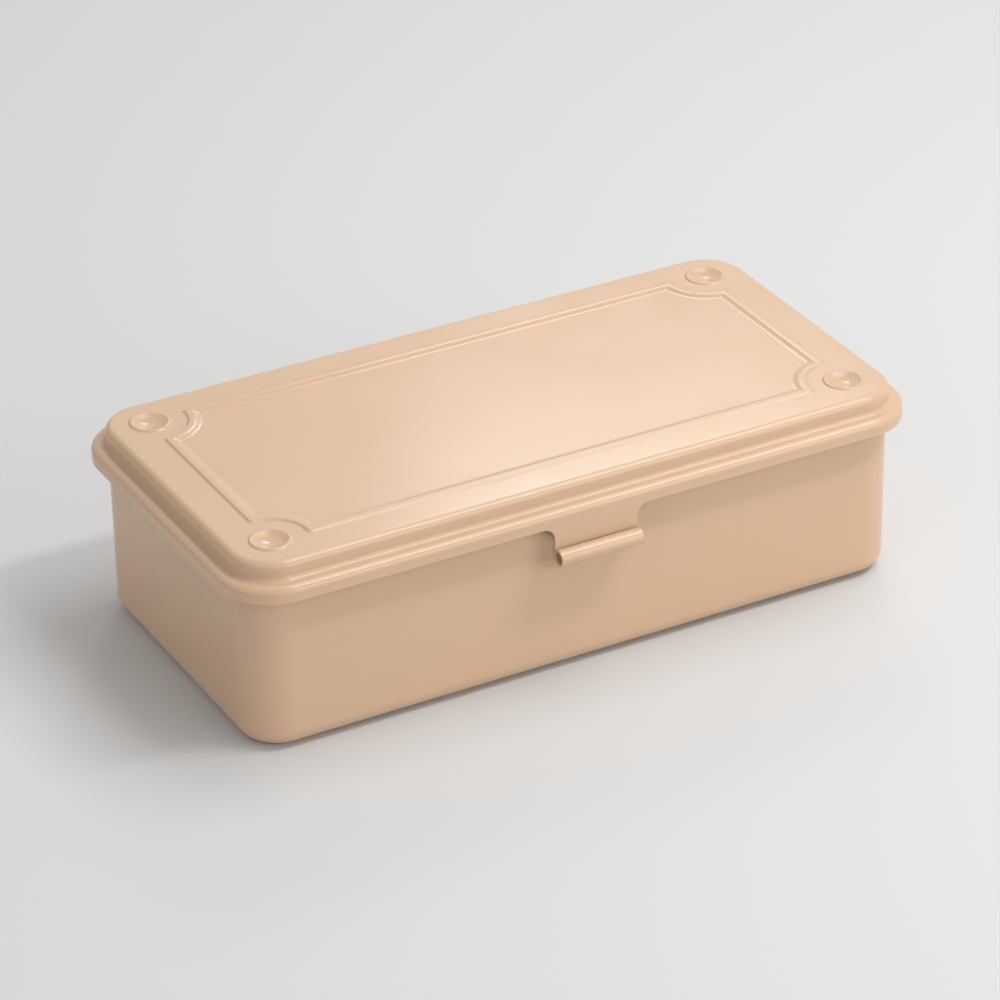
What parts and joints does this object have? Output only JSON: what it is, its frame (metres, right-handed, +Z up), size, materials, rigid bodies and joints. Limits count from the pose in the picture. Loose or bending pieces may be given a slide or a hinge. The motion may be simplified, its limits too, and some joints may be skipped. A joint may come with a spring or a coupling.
{
  "type": "steel toolbox",
  "caption": "Flat pressed-steel box with rounded corners, a stepped hinged lid with corner dimples and a bead frame, and a rolled front finger tongue over a catch boss.",
  "frame": {"origin": "middle of the box's outline, on the surface that its feet stand on, 0.6 mm below the floor's underside", "axes": "+Z up, +X along the box's length, -Y towards the finger tongue at the front"},
  "size_m": [0.203, 0.1079, 0.0565],
  "materials": {
    "paint": "glossy beige enamel on pressed steel sheet",
    "pin_steel": "steel wire painted over with the box"
  },
  "bodies": {
    "body": {"body_shell": "paint", "hinge_body_leaf_left": "paint", "hinge_body_leaf_right": "paint", "hinge_pin_left": "pin_steel", "hinge_pin_right": "pin_steel"},
    "lid": {"lid_shell": "paint", "hinge_lid_leaf_left": "paint", "hinge_lid_leaf_right": "paint"}
  },
  "joints": [
    {"name": "lid_hinge", "type": "hinge", "parent": "body", "child": "lid", "pos_m": [0, 0.04942, 0.0467], "axis": [-1, 0, 0], "range_deg": [0, 107]}
  ]
}
